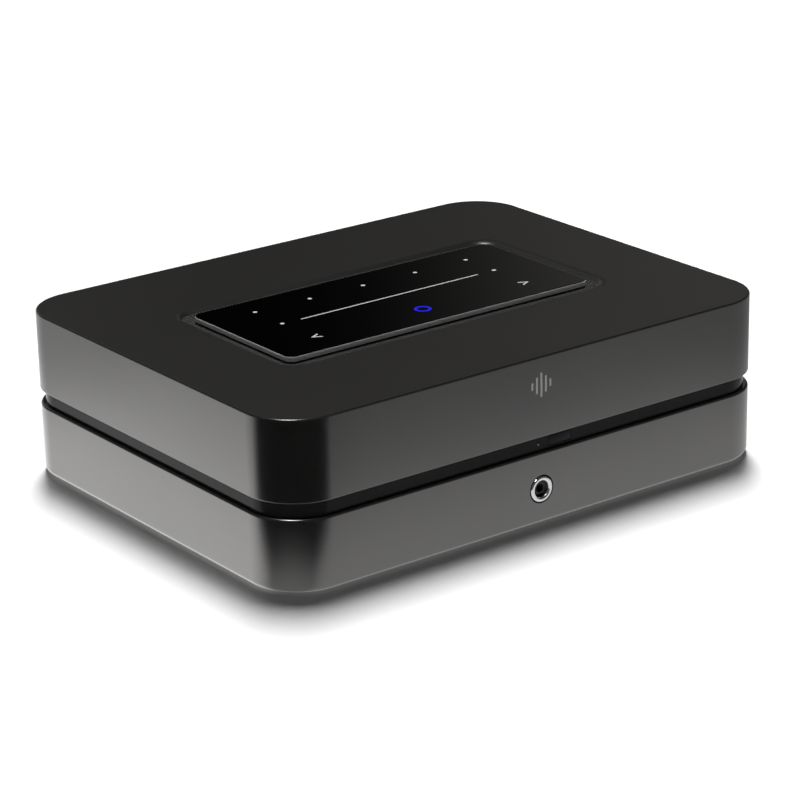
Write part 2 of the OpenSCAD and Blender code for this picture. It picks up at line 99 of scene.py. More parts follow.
def rounded_rect(w, d, r, seg, side=6):
    """Anticlockwise rounded rectangle: seg steps per corner, side steps per straight."""
    r = max(r, 0.02)
    u, v = w/2 - r, d/2 - r
    corners = [(u, v, 0), (-u, v, 90), (-u, -v, 180), (u, -v, 270)]
    points = []
    for k, (cx, cy, start) in enumerate(corners):
        points += arc(cx, cy, r, start, start + 90.0, seg)
        next_x, next_y, _ = corners[(k + 1) % 4]
        a = math.radians(start + 90)
        p = (cx + r * math.cos(a), cy + r * math.sin(a))
        q = (next_x + r * math.cos(a), next_y + r * math.sin(a))
        for i in range(1, side):
            t = i / side
            points.append((p[0] + (q[0] - p[0]) * t, p[1] + (q[1] - p[1]) * t))
    return points


def stack(size, profile, seg=28):
    """Level loops of a rounded rectangle, one for each (inset, height) of the profile."""
    w, d, r = size
    return [[(x, y, z) for x, y in rounded_rect(w - 2*o, d - 2*o, max(r - o, 0.3), seg)]
            for o, z in profile]


def loft(loops, closed=False, caps=False):
    """Skin over loops of equal length; closed joins the last loop to the first."""
    bm = bmesh.new()
    rows = [[bm.verts.new(p) for p in loop] for loop in loops]
    n = len(rows[0])
    for i in range(len(rows) if closed else len(rows) - 1):
        a, b = rows[i], rows[(i + 1) % len(rows)]
        for j in range(n):
            k = (j + 1) % n
            bm.faces.new((a[j], a[k], b[k], b[j]))
    if caps:
        bm.faces.new(list(reversed(rows[0])))
        bm.faces.new(rows[-1])
    return bm


def spin(rows):
    """Skin over closed outlines standing round an axis."""
    bm = bmesh.new()
    rows = [[bm.verts.new(p) for p in row] for row in rows]
    n = len(rows[0])
    for s, a in enumerate(rows):
        b = rows[(s + 1) % len(rows)]
        for j in range(n):
            k = (j + 1) % n
            bm.faces.new((a[j], b[j], b[k], a[k]))
    return bm


def lathe(profile, centre, axis, seg):
    """Turns a closed (radius, distance along the axis) outline about Z or Y."""
    cx, cy, cz = centre
    rows = []
    for s in range(seg):
        a = 2 * math.pi * s / seg
        points = [(r * math.cos(a), r * math.sin(a), h) for r, h in profile]
        if axis == "Z":
            rows.append([(cx + u, cy + v, cz + h) for u, v, h in points])
        else:
            rows.append([(cx + u, cy + h, cz + v) for u, v, h in points])
    bm = spin(rows)
    bmesh.ops.remove_doubles(bm, verts=bm.verts, dist=1e-4)
    return bm


def block(x0, x1, y0, y1, z0, z1, bevel=0.0, seg=1):
    bm = bmesh.new()
    bmesh.ops.create_cube(bm, size=1.0)
    for v in bm.verts:
        v.co = Vector(((x0 + x1)/2 + v.co.x * (x1 - x0),
                       (y0 + y1)/2 + v.co.y * (y1 - y0),
                       (z0 + z1)/2 + v.co.z * (z1 - z0)))
    if bevel:
        bmesh.ops.bevel(bm, geom=list(bm.edges), offset=bevel, segments=seg, profile=0.5,
                        affect="EDGES", clamp_overlap=True)
    return bm


def cylinder(x, y, z, r, length, axis="Z", seg=64):
    turn = Matrix.Rotation(math.radians(90), 4, "X") if axis == "Y" else Matrix.Identity(4)
    bm = bmesh.new()
    bmesh.ops.create_cone(bm, cap_ends=True, segments=seg, radius1=r, radius2=r, depth=length,
                          matrix=Matrix.Translation((x, y, z)) @ turn)
    return bm


def rear_window(w, h, r):
    """Cutter for the opening in the rear wall."""
    centre_z, y_start, y_end = 34, 80, 120
    outline = rounded_rect(w, h, r, 8, 2)
    return loft([[(x, y, centre_z + z) for x, z in outline] for y in (y_start, y_end)],
                caps=True)


def join(parts):
    joined = bmesh.new()
    for bm in parts:
        mesh = bpy.data.meshes.new("part")
        bm.to_mesh(mesh)
        bm.free()
        joined.from_mesh(mesh)
        bpy.data.meshes.remove(mesh)
    return joined


# ------------------------------------------------------------------ objects
def add_object(name, bm):
    mesh = bpy.data.meshes.new(name)
    bm.to_mesh(mesh)
    bm.free()
    obj = bpy.data.objects.new(name, mesh)
    scene.collection.objects.link(obj)
    return obj


def to_scene(bm):
    """Turns the faces outwards and moves millimetres about the case into scene metres."""
    bmesh.ops.recalc_face_normals(bm, faces=bm.faces)
    for v in bm.verts:
        v.co.y += CENTRE_Y
        v.co *= MM


def shade(bm, sharp):
    """Smooth faces, with edges of at least sharp degrees kept hard."""
    for face in bm.faces:
        face.smooth = True
    for edge in bm.edges:
        if len(edge.link_faces) == 2:
            edge.smooth = edge.calc_face_angle(0) < math.radians(sharp)


def weight_normals(obj, weight):
    mod = obj.modifiers.new("wn", "WEIGHTED_NORMAL")
    mod.keep_sharp = True
    mod.weight = weight


def carve(obj, cutters):
    """Takes the cutters out of an object, bakes the result and shades it again."""
    tools = []
    for bm in cutters:
        to_scene(bm)
        tool = add_object("cutter", bm)
        tools.append(tool)
        mod = obj.modifiers.new("cut", "BOOLEAN")
        mod.operation = "DIFFERENCE"
        mod.solver = "EXACT"
        mod.object = tool
    depsgraph = bpy.context.evaluated_depsgraph_get()
    mesh = bpy.data.meshes.new_from_object(obj.evaluated_get(depsgraph))
    mat = obj.data.materials[0]
    obj.modifiers.clear()
    obj.data = mesh
    mesh.materials.clear()
    mesh.materials.append(mat)
    for tool in tools:
        bpy.data.objects.remove(tool)
    bm = bmesh.new()
    bm.from_mesh(mesh)
    shade(bm, 30.0)
    bm.to_mesh(mesh)
    bm.free()
    weight_normals(obj, 90)


def piece(name, bm, mat, node, body="unit", cutters=(), sharp=30.0, weight=None):
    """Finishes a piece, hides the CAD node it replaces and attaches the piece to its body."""
    to_scene(bm)
    shade(bm, sharp)
    obj = add_object(name, bm)
    obj.data.materials.append(mat)
    if weight:
        weight_normals(obj, weight)
    if cutters:
        carve(obj, cutters)
    if node:
        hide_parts(node)
    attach(obj, body)


# ------------------------------------------------------------------ shader nodes
class Tree:
    """A node tree with short calls; an input takes either a value or a socket to link."""
    def __init__(self, node_tree):
        self.nodes, self.links = node_tree.nodes, node_tree.links

    def feed(self, node, inputs):
        for key, value in inputs.items():
            if isinstance(value, bpy.types.NodeSocket):
                self.links.new(value, node.inputs[key])
            else:
                node.inputs[key].default_value = value

    def add(self, kind, inputs={}, **settings):
        """Adds a node and gives back its outputs."""
        node = self.nodes.new("ShaderNode" + kind)
        for key, value in settings.items():
            setattr(node, key, value)
        self.feed(node, inputs)
        return node.outputs

    def math(self, operation, *values):
        return self.add("Math", dict(enumerate(values)), operation=operation)[0]

    def step(self, value, low, high, start=0.0, end=1.0):
        """Smooth step from start at low to end at high."""
        return self.add("MapRange", {"From Min": low, "From Max": high, "To Min": start,
                                     "To Max": end, "Value": value},
                        interpolation_type="SMOOTHSTEP")[0]

    def window(self, value, rise_lo, rise_hi, fall_lo, fall_hi):
        """Rises from 0 to 1 over the first span and falls back over the second."""
        return self.math("MULTIPLY", self.step(value, rise_lo, rise_hi),
                         self.step(value, fall_lo, fall_hi, 1.0, 0.0))


def matt_top(tree, rough, top_rough):
    """Roughness top_rough on faces that look up and round the well, rough elsewhere."""
    half_x, half_y = 0.095, 0.055      # half size of the area round the well, in metres
    geometry = tree.add("NewGeometry")
    normal = tree.add("SeparateXYZ", {0: geometry["Normal"]})
    up = tree.add("MapRange", {"From Min": 0.9, "From Max": 0.99, "Value": normal["Z"]})[0]
    place = tree.add("SeparateXYZ", {0: geometry["Position"]})

    def inside(socket, shift, half):
        distance = tree.math("ABSOLUTE", tree.math("ADD", socket, shift))
        return tree.math("LESS_THAN", distance, half)

    by_well = tree.math("MULTIPLY", inside(place["X"], 0.0, half_x),
                        inside(place["Y"], -CENTRE_Y * MM, half_y))
    matt = tree.math("MAXIMUM", up, by_well)
    return tree.add("Mix", {"Factor": matt, 2: rough, 3: top_rough}, data_type="FLOAT")[0]


def material(name, color, rough, metallic=0.0, var=0.06, grain=900.0, bump=0.06, rough_var=0.08,
             coat=0.0, spec=0.5, stretch=(1, 1, 1), emission=None, top_rough=None):
    """Principled material whose colour (by var, a share) and roughness (by rough_var) drift
    with a fine noise of scale grain, stretched per axis, mixed with a broad one. The fine
    noise drives the bump. emission is (colour, strength)."""
    mat = bpy.data.materials.new(name)
    mat.use_nodes = True
    tree = Tree(mat.node_tree)
    shader = tree.nodes["Principled BSDF"]
    coords = tree.add("TexCoord")["Object"]
    stretched = tree.add("Mapping", {"Scale": stretch, "Vector": coords})[0]
    fine = tree.add("TexNoise", {"Scale": grain, "Detail": 3, "Vector": stretched})["Fac"]
    broad = tree.add("TexNoise", {"Scale": 14, "Detail": 4, "Vector": coords})["Fac"]
    noise = tree.add("Mix", {"Factor": 0.5, 2: fine, 3: broad}, data_type="FLOAT")[0]
    tint = tree.add("ValToRGB", {"Fac": noise})["Color"]
    ends = tint.node.color_ramp.elements
    for end, position, share in ((ends[0], 0.3, 1 - var), (ends[1], 0.7, 1 + var)):
        end.position = position
        end.color = (*[min(1, c * share) for c in color], 1)
    roughness = tree.add("MapRange", {"From Min": 0.3, "From Max": 0.7,
                                      "To Min": max(0.02, rough - rough_var),
                                      "To Max": min(1, rough + rough_var), "Value": noise})[0]
    if top_rough is not None:
        roughness = matt_top(tree, roughness, top_rough)
    if bump > 0:
        relief = tree.add("Bump", {"Strength": bump, "Distance": 0.0002, "Height": fine})[0]
        tree.feed(shader, {"Normal": relief})
    tree.feed(shader, {"Base Color": tint, "Roughness": roughness, "Metallic": metallic,
                       "IOR": 1.45, "Specular IOR Level": spec, "Coat Weight": coat,
                       "Coat Roughness": 0.08})
    if emission:
        tree.feed(shader, {"Emission Color": (*emission[0], 1), "Emission Strength": emission[1]})
    return mat


# ------------------------------------------------------------------ materials
anodised = dict(rough=0.22, metallic=0.97, var=0.07, grain=1400, bump=0.10, rough_var=0.05,
                stretch=(1, 1, 7))
UPPER_METAL = material("case_anodised_upper", color=(0.160, 0.158, 0.155), top_rough=0.42,
                       **anodised)
LOWER_METAL = material("case_anodised_lower", color=(0.165, 0.163, 0.160), **anodised)
GROOVE_GLOSS = material("groove_gloss", color=(0.010, 0.010, 0.010), rough=0.14, var=0.2,
                        grain=500, bump=0.02, rough_var=0.04, spec=0.12)
VENT = material("vent_moulded", color=(0.050, 0.050, 0.049), rough=0.5, var=0.2, grain=1600,
                bump=0.15)
GLASS = material("panel_glass", color=(0.0004, 0.0004, 0.0004), rough=0.04, var=0.3, grain=300,
                 bump=0.0, rough_var=0.015)
RIM_SATIN = material("panel_rim_satin", color=(0.62, 0.62, 0.62), rough=0.45, metallic=0.1,
                     grain=1200)
CHROME = material("ring_chrome", color=(0.80, 0.81, 0.82), rough=0.12, metallic=1.0, var=0.03,
                  grain=800, bump=0.02, rough_var=0.04)
BLACK = material("plastic_black", color=(0.018, 0.018, 0.018), rough=0.5, var=0.2, grain=1500,
                 bump=0.2)
RUBBER = material("rubber_dark", color=(0.016, 0.016, 0.016), rough=0.82, var=0.25, grain=1900,
                  bump=0.4)
# printed icons; their emission is a painted glow that brightens the print, not a lamp
PRINT_PAINTED_GLOW = material("print_light_painted_glow", color=(0.46, 0.46, 0.46), rough=0.5, var=0.05, grain=1500,
                 bump=0.02, emission=((0.9, 0.9, 0.92), 0.06))
BLUE = material("ring_light_blue", color=(0.01, 0.01, 0.4), rough=0.3, var=0.1, grain=1500,
                bump=0.02, emission=((0.003, 0.003, 0.34), 1.0))
MARK = material("mark_print", color=(0.42, 0.41, 0.38), rough=0.4, metallic=0.3, var=0.05,
                grain=1500, bump=0.02)
LAMP = material("lamp_clear", color=(0.14, 0.15, 0.17), rough=0.25, var=0.05, grain=1200,
                bump=0.02)
IR_TINT = material("ir_window_tint", color=(0.010, 0.010, 0.014), rough=0.10, var=0.2, grain=600,
                   bump=0.02, spec=0.14)
STEEL = material("steel_plated", color=(0.55, 0.56, 0.57), rough=0.3, metallic=1.0, var=0.08,
                 bump=0.08, stretch=(1, 8, 1))
GOLD = material("gold_plated", color=(0.83, 0.60, 0.24), rough=0.22, metallic=1.0, bump=0.04)
RED = material("cap_red", color=(0.42, 0.018, 0.016), rough=0.3, var=0.1, grain=1200, bump=0.05,
               coat=0.2)
KNOB_BLACK = material("cap_black", color=(0.015, 0.015, 0.016), rough=0.3, var=0.2, grain=1200,
                      bump=0.05, coat=0.2)
REAR = material("rear_powder", color=(0.022, 0.022, 0.023), rough=0.55, metallic=0.2, var=0.2,
                grain=2200, bump=0.5)
BOARD = material("board_green", color=(0.012, 0.075, 0.04), rough=0.35, var=0.25, grain=500,
                 bump=0.1)
WHITE = material("plastic_white", color=(0.72, 0.72, 0.70), rough=0.45, var=0.04, grain=1200,
                 bump=0.08)
FILM = material("cable_film", color=(0.55, 0.52, 0.42), rough=0.35, var=0.08, bump=0.08)
ALUMINIUM = material("sink_aluminium", color=(0.60, 0.61, 0.62), rough=0.35, metallic=1.0,
                     bump=0.12, stretch=(1, 9, 1))
LAMINATE = material("core_laminate", color=(0.06, 0.06, 0.065), rough=0.5, metallic=0.6, var=0.2,
                    grain=1200, bump=0.4, stretch=(1, 16, 1))
TAPE = material("winding_tape", color=(0.62, 0.44, 0.06), rough=0.35, var=0.12, grain=500,
                bump=0.15, stretch=(1, 1, 20))
SLEEVE = material("capacitor_sleeve", color=(0.012, 0.018, 0.04), rough=0.25, var=0.2, bump=0.05)
COPPER = material("copper_enamel", color=(0.42, 0.13, 0.04), rough=0.28, metallic=0.9, var=0.2,
                  grain=700, bump=0.4, stretch=(10, 1, 1))
CERAMIC = material("ceramic_cream", color=(0.62, 0.59, 0.52), rough=0.4, var=0.05, grain=1400,
                   bump=0.1)
FERRITE = material("ferrite_dark", color=(0.03, 0.03, 0.032), rough=0.6, metallic=0.1, var=0.25,
                   grain=1700, bump=0.4)


# ------------------------------------------------------------------ casings
def upper_casing():
    """Ring-shaped shell from the groove, over the top edge and down into the well."""
    groove_r, top_r = 0.5, 0.8        # edge roundings
    rim_w, rim_h = 3.5, 2.5           # elliptical rounding of the well's rim
    side = [(WALL, GROOVE_HI), (groove_r + 0.6, GROOVE_HI)]
    side += arc(groove_r, GROOVE_HI + groove_r, groove_r, 270, 180)
    side += [(0, GROOVE_HI + 8), (0, TOP_Z - 8)]
    side += arc(top_r, TOP_Z - top_r, top_r, 180, 90)
    side += [(top_r + 2, TOP_Z)]
    # a negative inset lies outside the well's outline
    well = [(-(rim_w + 1.0), TOP_Z)]
    for i in range(9):
        a = math.radians(90 + 90*i/8)
        well.append((-(rim_w + rim_w*math.cos(a)), TOP_Z - rim_h + rim_h*math.sin(a)))
    well += [(0, VENT_Z), (-WALL, VENT_Z), (-WALL, TOP_Z - WALL)]
    loops = stack(CASE, side) + stack(WELL, well) + stack(CASE, [(WALL, TOP_Z - WALL)])
    piece("upper_casing", loft(loops, closed=True), UPPER_METAL, "top_shell",
          cutters=[rear_window(176, 50, 3)])


def lower_casing():
    """Tray with a rounded bottom edge, holes for socket and screws, and slots in its floor."""
    bottom_r, groove_r = 2.5, 1.0
    profile = [(bottom_r + 14, BASE_Z), (bottom_r + 1.5, BASE_Z)]
    profile += arc(bottom_r, BASE_Z + bottom_r, bottom_r, 270, 180, 8)
    profile += [(0, BASE_Z + 9), (0, GROOVE_LO - 8)]
    profile += arc(groove_r, GROOVE_LO - groove_r, groove_r, 180, 90)
    profile += [(groove_r + 0.6, GROOVE_LO), (WALL, GROOVE_LO), (WALL, BASE_Z + WALL),
                (WALL + 14, BASE_Z + WALL)]
    cutters = [rear_window(176, 50, 3), cylinder(0, FRONT, PHONES_Z, 5.98, 12, "Y")]
    screw_inset, slot_pitch, slot_y = 20, 8, 4
    for sx in (-1, 1):
        for sy in (-1, 1):
            cutters.append(cylinder(sx*(WIDTH/2 - screw_inset), sy*(DEPTH/2 - screw_inset),
                                    BASE_Z, 3.4, 4.4))
    outline = rounded_rect(2.4, 46, 1.19, 6, 2)
    for i in range(-7, 8):
        cutters.append(loft([[(x + i*slot_pitch, y + slot_y, z) for x, y in outline]
                             for z in (BASE_Z - 1, BASE_Z + 4)], caps=True))
    piece("lower_casing", loft(stack(CASE, profile), caps=True), LOWER_METAL, "bottom_shell",
          cutters=cutters)


def groove_band():
    """Dark band set back in the groove, and the remote control's window in its front."""
    setback, overlap = 2.0, 0.02
    back = WALL + 2
    x0, x1, gap = 5, 17, 0.1          # window opening and the gap round the window
    profile = [(setback, GROOVE_LO - overlap), (setback, GROOVE_LO + 1.5),
               (setback, GROOVE_HI - 1.5), (setback, GROOVE_HI + overlap),
               (back, GROOVE_HI + overlap), (back, GROOVE_LO - overlap)]
    opening = block(x0, x1, FRONT - 1, FRONT + 6, GROOVE_LO + 1, GROOVE_HI - 1)
    small_hole = cylinder(0, FRONT + 3, GROOVE_LO + 3.2, 0.45, 8, "Y", 32)
    piece("groove_band", loft(stack(CASE, profile), closed=True), GROOVE_GLOSS, "mid_band",
          cutters=[rear_window(185, 59, 4), opening, small_hole])
    window = block(x0 + gap, x1 - gap, FRONT + setback - 0.05, FRONT + 4.2,
                   GROOVE_LO + 1.1, GROOVE_HI - 1.1, 0.25, 3)
    piece("remote_window", window, IR_TINT, "ir_window")


upper_casing()
lower_casing()
groove_band()


# ------------------------------------------------------------------ perforated floor of the well
def outside(x, y, w, d, r):
    """Distance of a point outside a rounded rectangle, negative inside."""
    qx, qy = abs(x) - (w/2 - r), abs(y) - (d/2 - r)
    return math.hypot(max(qx, 0), max(qy, 0)) + min(max(qx, qy), 0) - r


def perforated():
    """Square cells, each with an eight-sided hole; the plate rises towards its rim."""
    pitch, hole_r = 1.5, 0.56
    columns, rows = 113, 57
    blank_x, blank_y = 46, 18         # cells left out under the panel, either side of the middle
    drop, rise, thick = 2.75, 1.15, 0.7
    h = pitch/2
    border = [(h, 0), (h, h), (0, h), (-h, h), (-h, 0), (-h, -h), (0, -h), (h, -h)]
    hole = [(hole_r*math.cos(k*math.pi/4), hole_r*math.sin(k*math.pi/4)) for k in range(8)]
    bm = bmesh.new()
    known = {}

    def centre(i, j):
        return (i - (columns - 1)/2) * pitch, (j - (rows - 1)/2) * pitch

    def vert(point, top):
        x, y = point
        key = (round(x, 3), round(y, 3), top)
        if key not in known:
            t = min(1.0, max(0.0, (outside(x, y, 152, 67.5, 3) + 0.5) / 6.5))
            t = t*t*(3 - 2*t)
            known[key] = bm.verts.new((x, y, TOP_Z - drop + rise*t - (0.0 if top else thick)))
        return known[key]

    def quad(*corners):
        bm.faces.new([vert(point, top) for point, top in corners])

    cells = set()
    for i in range(columns):
        for j in range(rows):
            blank = abs(i - columns//2) <= blank_x and abs(j - rows//2) <= blank_y
            if not blank and outside(*centre(i, j), 165.0, 84.0, 9.0) <= 0:
                cells.add((i, j))
    # neighbour step and the border points on that side
    sides = ((1, 0, (7, 0, 1)), (0, 1, (1, 2, 3)), (-1, 0, (3, 4, 5)), (0, -1, (5, 6, 7)))
    for i, j in cells:
        cx, cy = centre(i, j)
        outer = [(cx + u, cy + v) for u, v in border]
        inner = [(cx + u, cy + v) for u, v in hole]
        for k in range(8):
            a, b = outer[k], outer[(k + 1) % 8]
            c, d = inner[k], inner[(k + 1) % 8]
            quad((c, True), (a, True), (b, True), (d, True))
            quad((d, False), (b, False), (a, False), (c, False))
            quad((c, True), (d, True), (d, False), (c, False))
        for di, dj, points in sides:
            if (i + di, j + dj) not in cells:
                for q in range(2):
                    a, b = outer[points[q]], outer[points[q + 1]]
                    quad((a, True), (a, False), (b, False), (b, True))
    return bm


piece("vent_mesh", perforated(), VENT, "vent_grille")

# ------------------------------------------------------------------ touch panel: rim and glass
low, high = panel_lo[2], panel_hi[2]
rim_profile = [
    (0.5, low), (0.10, low + 0.1), (0, low + 0.35), (0.0, high - 0.62), (0.06, high - 0.40),
    (0.20, high - 0.26), (0.9, high - 0.26), (0.9, low)]
piece("panel_rim", loft(stack(PANEL, rim_profile, 16), closed=True), RIM_SATIN, "touch_panel",
      sharp=35)
glass_profile = [(0.92, low + 0.2), (0.92, high - 0.24), (0.19, high - 0.24)]
glass_profile += arc(0.31, high - 0.13, 0.13, 180, 90, 4) + [(3, high), (12, high)]
piece("panel_glass_sheet", loft(stack(PANEL, glass_profile, 16), caps=True), GLASS,
      "touch_panel", sharp=40, weight=80)

# ------------------------------------------------------------------ headphone socket
# radius, distance behind the case front
ring_profile = [
    (3.5, 2.5), (3.5, 0.2), (3.62, -0.12), (4.0, -0.38), (4.5, -0.48), (4.95, -0.42),
    (5.28, -0.22), (5.45, 0.1), (5.48, 0.5), (5.48, 2.5)]
piece("socket_ring", lathe(ring_profile, (0, FRONT, PHONES_Z), "Y", 96), CHROME,
      "headphone_ring", sharp=40)

# ------------------------------------------------------------------ feet
# radius, height above the table
foot_profile = [
    (AXIS, 0.25), (5.5, 0.25), (6.0, 0.0), (7.9, 0.0), (8.5, 0.25), (8.9, 0.8), (9.0, 1.2),
    (9.0, 2.0), (AXIS, 2.0)]
feet = [lathe(foot_profile, (sx*(WIDTH/2 - 40), sy*(DEPTH/2 - 22), 0), "Z", 56)
        for sx in (-1, 1) for sy in (-1, 1)]
piece("foot_pads", join(feet), RUBBER, "rubber_feet")


# ------------------------------------------------------------------ terminal knobs
def knob(which, mat):
    """Hollow cap with twelve flutes round its grip."""
    node = "knob_" + which
    lo, hi = box_mm(node)
    cx, cz, r = (lo[0] + hi[0])/2, (lo[2] + hi[2])/2, (hi[0] - lo[0])/2
    flutes, flute_depth, seg = 12, 0.55, 144
    # radius, distance from the inner end, share of the flute depth
    profile = [
        (r - 0.9, 0.0, 0), (r - 0.7, 0.2, 0), (r - 0.7, 1.0, 0), (r - 0.15, 1.25, 0.5),
        (r, 1.7, 1), (r, 10.4, 1), (r - 0.12, 11.0, 1), (r - 0.6, 11.5, 0.5),
        (r - 0.9, 12.2, 0), (r - 1.3, 12.8, 0), (r - 2.2, 13.0, 0), (3.1, 13.0, 0),
        (2.78, 12.75, 0), (2.7, 12.3, 0), (2.7, 11.2, 0), (3.05, 11.2, 0), (3.05, 0.0, 0)]
    rows = []
    for s in range(seg):
        a = 2*math.pi*s/seg
        dent = max(0.0, math.cos(flutes*a))**3
        row = []
        for radius, y, share in profile:
            q = radius - flute_depth*share * dent
            row.append((cx + q*math.cos(a), lo[1] + y, cz + q*math.sin(a)))
        rows.append(row)
    piece("cap_" + which, spin(rows), mat, node, body="terminal_" + which, sharp=38)


for side in ("left", "right"):
    knob(side + "_red", RED)
    knob(side + "_black", KNOB_BLACK)


# ------------------------------------------------------------------ rear collars and button
def collars(colour, mat):
    """Pair of insulating collars round the terminal posts, standing on the rear panel."""
    node = "post_insulators_" + colour
    (x0, _, _), (x1, _, _) = box_mm(node)
    flange_r = 6.6
    # radius, distance out from the panel
    profile = [(3.05, -3.9), (3.95, -3.9), (3.95, 0.02), (6.3, 0.02)]
    profile += arc(6.15, 0.45, 0.42, -40, 0, 3) + [(6.57, 1.5)] + arc(5.87, 1.75, 0.7, 0, 90)
    profile += [(5.3, 2.45), (5.15, 2.3), (4.98, 2.3), (4.98, 2.45), (3.05, 2.45)]
    pair = [lathe(profile, (x, PLATE_Y, middle(node, 2)), "Y", 96)
            for x in (x0 + flange_r, x1 - flange_r)]
    piece("collars_" + colour, join(pair), mat, node, sharp=38)


def reset_cap():
    """Button with a flange behind the panel and a dished outer end."""
    lo, hi = box_mm("reset_button")
    y0, y1 = lo[1], hi[1]
    profile = [
        (AXIS, y0), (1.85, y0), (2.0, y0 + 0.15), (2.0, PLATE_Y - 3.4), (2.75, PLATE_Y - 3.4),
        (2.9, PLATE_Y - 3.25), (2.9, PLATE_Y - 2.35), (2.75, PLATE_Y - 2.2),
        (2.0, PLATE_Y - 2.2), (2.0, y1 - 0.35)]
    profile += arc(1.65, y1 - 0.35, 0.35, 0, 80, 5)
    profile += [(1.2, y1 - 0.03), (0.6, y1 - 0.14), (AXIS, y1 - 0.17)]
    centre = (middle("reset_button"), 0, middle("reset_button", 2))
    piece("reset_cap", lathe(profile, centre, "Y", 64), WHITE, "reset_button",
          body="reset", sharp=40)


collars("red", RED)
collars("black", KNOB_BLACK)
reset_cap()


# ------------------------------------------------------------------ rear sockets
def mains_inlet():
    """Housing with softened outer edges, a figure-eight recess and two pins."""
    cx = middle("mains_inlet")
    w, h, r, edge_r = 22, 12.4, 1.0, 0.45
    pin_x = 4.3                       # pins and lobes, either side of the middle
    lobe_r, waist = 4.4, 3.5          # lobe radius, half height of the waist

    def upright(outline, y):
        return [(cx + x, y, LOW_ROW_Z + z) for x, z in outline]

    profile = [(0, PLATE_Y - 18)] + arc(edge_r, PLATE_Y + 0.35, edge_r, 180, 90, 3)
    rows = [upright(rounded_rect(w - 2*o, h - 2*o, max(r - o, 0.3), 10, 2), y)
            for o, y in profile]
    a = math.degrees(math.asin(waist/lobe_r))
    eight = arc(pin_x, 0, lobe_r, a - 180, 180 - a, 32) + arc(-pin_x, 0, lobe_r, a, 360 - a, 32)
    recess = loft([upright(eight, y) for y in (PLATE_Y - 11, PLATE_Y + 2)], caps=True)
    piece("mains_housing", loft(rows, caps=True), BLACK, "mains_inlet",
          cutters=[recess])
    pin = [(AXIS, PLATE_Y - 15.8), (1.18, PLATE_Y - 15.8), (1.18, PLATE_Y - 2.9)]
    pin += arc(0.48, PLATE_Y - 2.7, 0.7, 0, 80) + [(AXIS, PLATE_Y - 2.0)]
    pins = [lathe(pin, (cx + q*pin_x, 0, LOW_ROW_Z), "Y", 40) for q in (-1, 1)]
    piece("mains_pin_pair", join(pins), STEEL, "mains_pins", sharp=40)


def network_contacts():
    """Eight bent spring wires."""
    first_x, pitch, width = -73.75, 1.02, 0.4
    # distance out from the panel, height in the upper row
    bend = [(-2.2, 9.95), (-9.2, 7.3), (-10.6, 7.3), (-10.6, 7.65), (-9.3, 7.65), (-2.2, 10.3)]
    wires = []
    for i in range(8):
        x0 = first_x + pitch*i
        wires.append(loft([[(x, PLATE_Y + y, HIGH_ROW_Z + z) for y, z in bend]
                           for x in (x0, x0 + width)], caps=True))
    piece("network_contacts", join(wires), GOLD, None)


def socket_pads():
    """Contact pads on the tongues of the two data sockets."""
    def pads(xs, half_w, inner, outer, z):
        return [block(x - half_w, x + half_w, PLATE_Y - inner, PLATE_Y - outer,
                      HIGH_ROW_Z + z, HIGH_ROW_Z + z + 0.12, 0.03, 1) for x in xs]

    wide = pads((-48.35, -45.85, -43.85, -41.35), half_w=0.5, inner=8.5, outer=1.4, z=4.9)
    narrow = pads([-24.6 + i for i in range(10)], half_w=0.22, inner=8, outer=1.6, z=4.84)
    piece("data_socket_pads", join(wide + narrow), GOLD, None)


def round_socket(name, node, z, base_z):
    """Moulded body with a turned collar round its bore."""
    cx = middle(node)
    body = block(cx - 5.5, cx + 5.5, PLATE_Y - 15, PLATE_Y - 1.6, base_z, z + 5, 0.35, 2)
    piece(name, body, BLACK, node,
          cutters=[cylinder(cx, PLATE_Y - 7, z, 2.39, 20, "Y", 48)])
    # radius, distance out from the panel
    profile = [(1.8, -12.9), (1.8, 0.1), (2.1, 0.38), (2.5, 0.56), (3.35, 0.6)]
    profile += arc(3.6, 0.30, 0.28, 80, 0, 4)
    profile += [(3.9, -1.5), (3.9, -3.0), (2.4, -3.0), (2.4, -12.9)]
    piece(name + "_collar", lathe(profile, (cx, PLATE_Y, z), "Y", 72), BLACK, node,
          sharp=38)


mains_inlet()
network_contacts()
socket_pads()
round_socket("audio_socket", "audio_input_jack", LOW_ROW_Z, 13.6)
round_socket("trigger_socket_body", "trigger_jack", HIGH_ROW_Z + 6.6, HIGH_ROW_Z)

# ------------------------------------------------------------------ materials of the kept CAD nodes
KEPT = {
    "panel_icons": PRINT_PAINTED_GLOW, "status_lamp": LAMP, "status_ring": BLUE, "front_emblem": MARK,
    "panel_carrier": BLACK, "touch_board": BOARD, "ribbon_cable": FILM, "ir_receiver": BLACK,
    "case_screws": STEEL, "headphone_jack": BLACK, "lower_board": BOARD, "board_screws": STEEL,
    "upper_board": BOARD, "board_spacers": GOLD, "spacer_screws": STEEL,
    "streamer_module": STEEL, "wireless_antennas": BOARD, "heat_sink": ALUMINIUM,
    "amplifier_chips": BLACK, "transformer_core": LAMINATE, "transformer_winding": TAPE,
    "filter_capacitors": SLEEVE, "line_choke": COPPER, "fuse": CERAMIC,
    "output_inductors": FERRITE, "rear_panel": REAR, "ethernet_port": STEEL,
    "usb_port": STEEL, "hdmi_port": STEEL, "sub_socket_barrel": GOLD,
    "sub_socket_core": WHITE, "reset_switch": BLACK, "post_studs": GOLD, "post_nuts": GOLD,
    "washer_left_red": GOLD, "washer_left_black": GOLD, "washer_right_red": GOLD,
    "washer_right_black": GOLD,
}
nodes = frame["nodes"]
for name, mat in KEPT.items():
    # the frame may hold its nodes as objects, as object names or only as a list
    obj = nodes[name] if isinstance(nodes, dict) else name
    if isinstance(obj, str):
        obj = bpy.data.objects[obj]
    obj.data.materials.clear()
    obj.data.materials.append(mat)

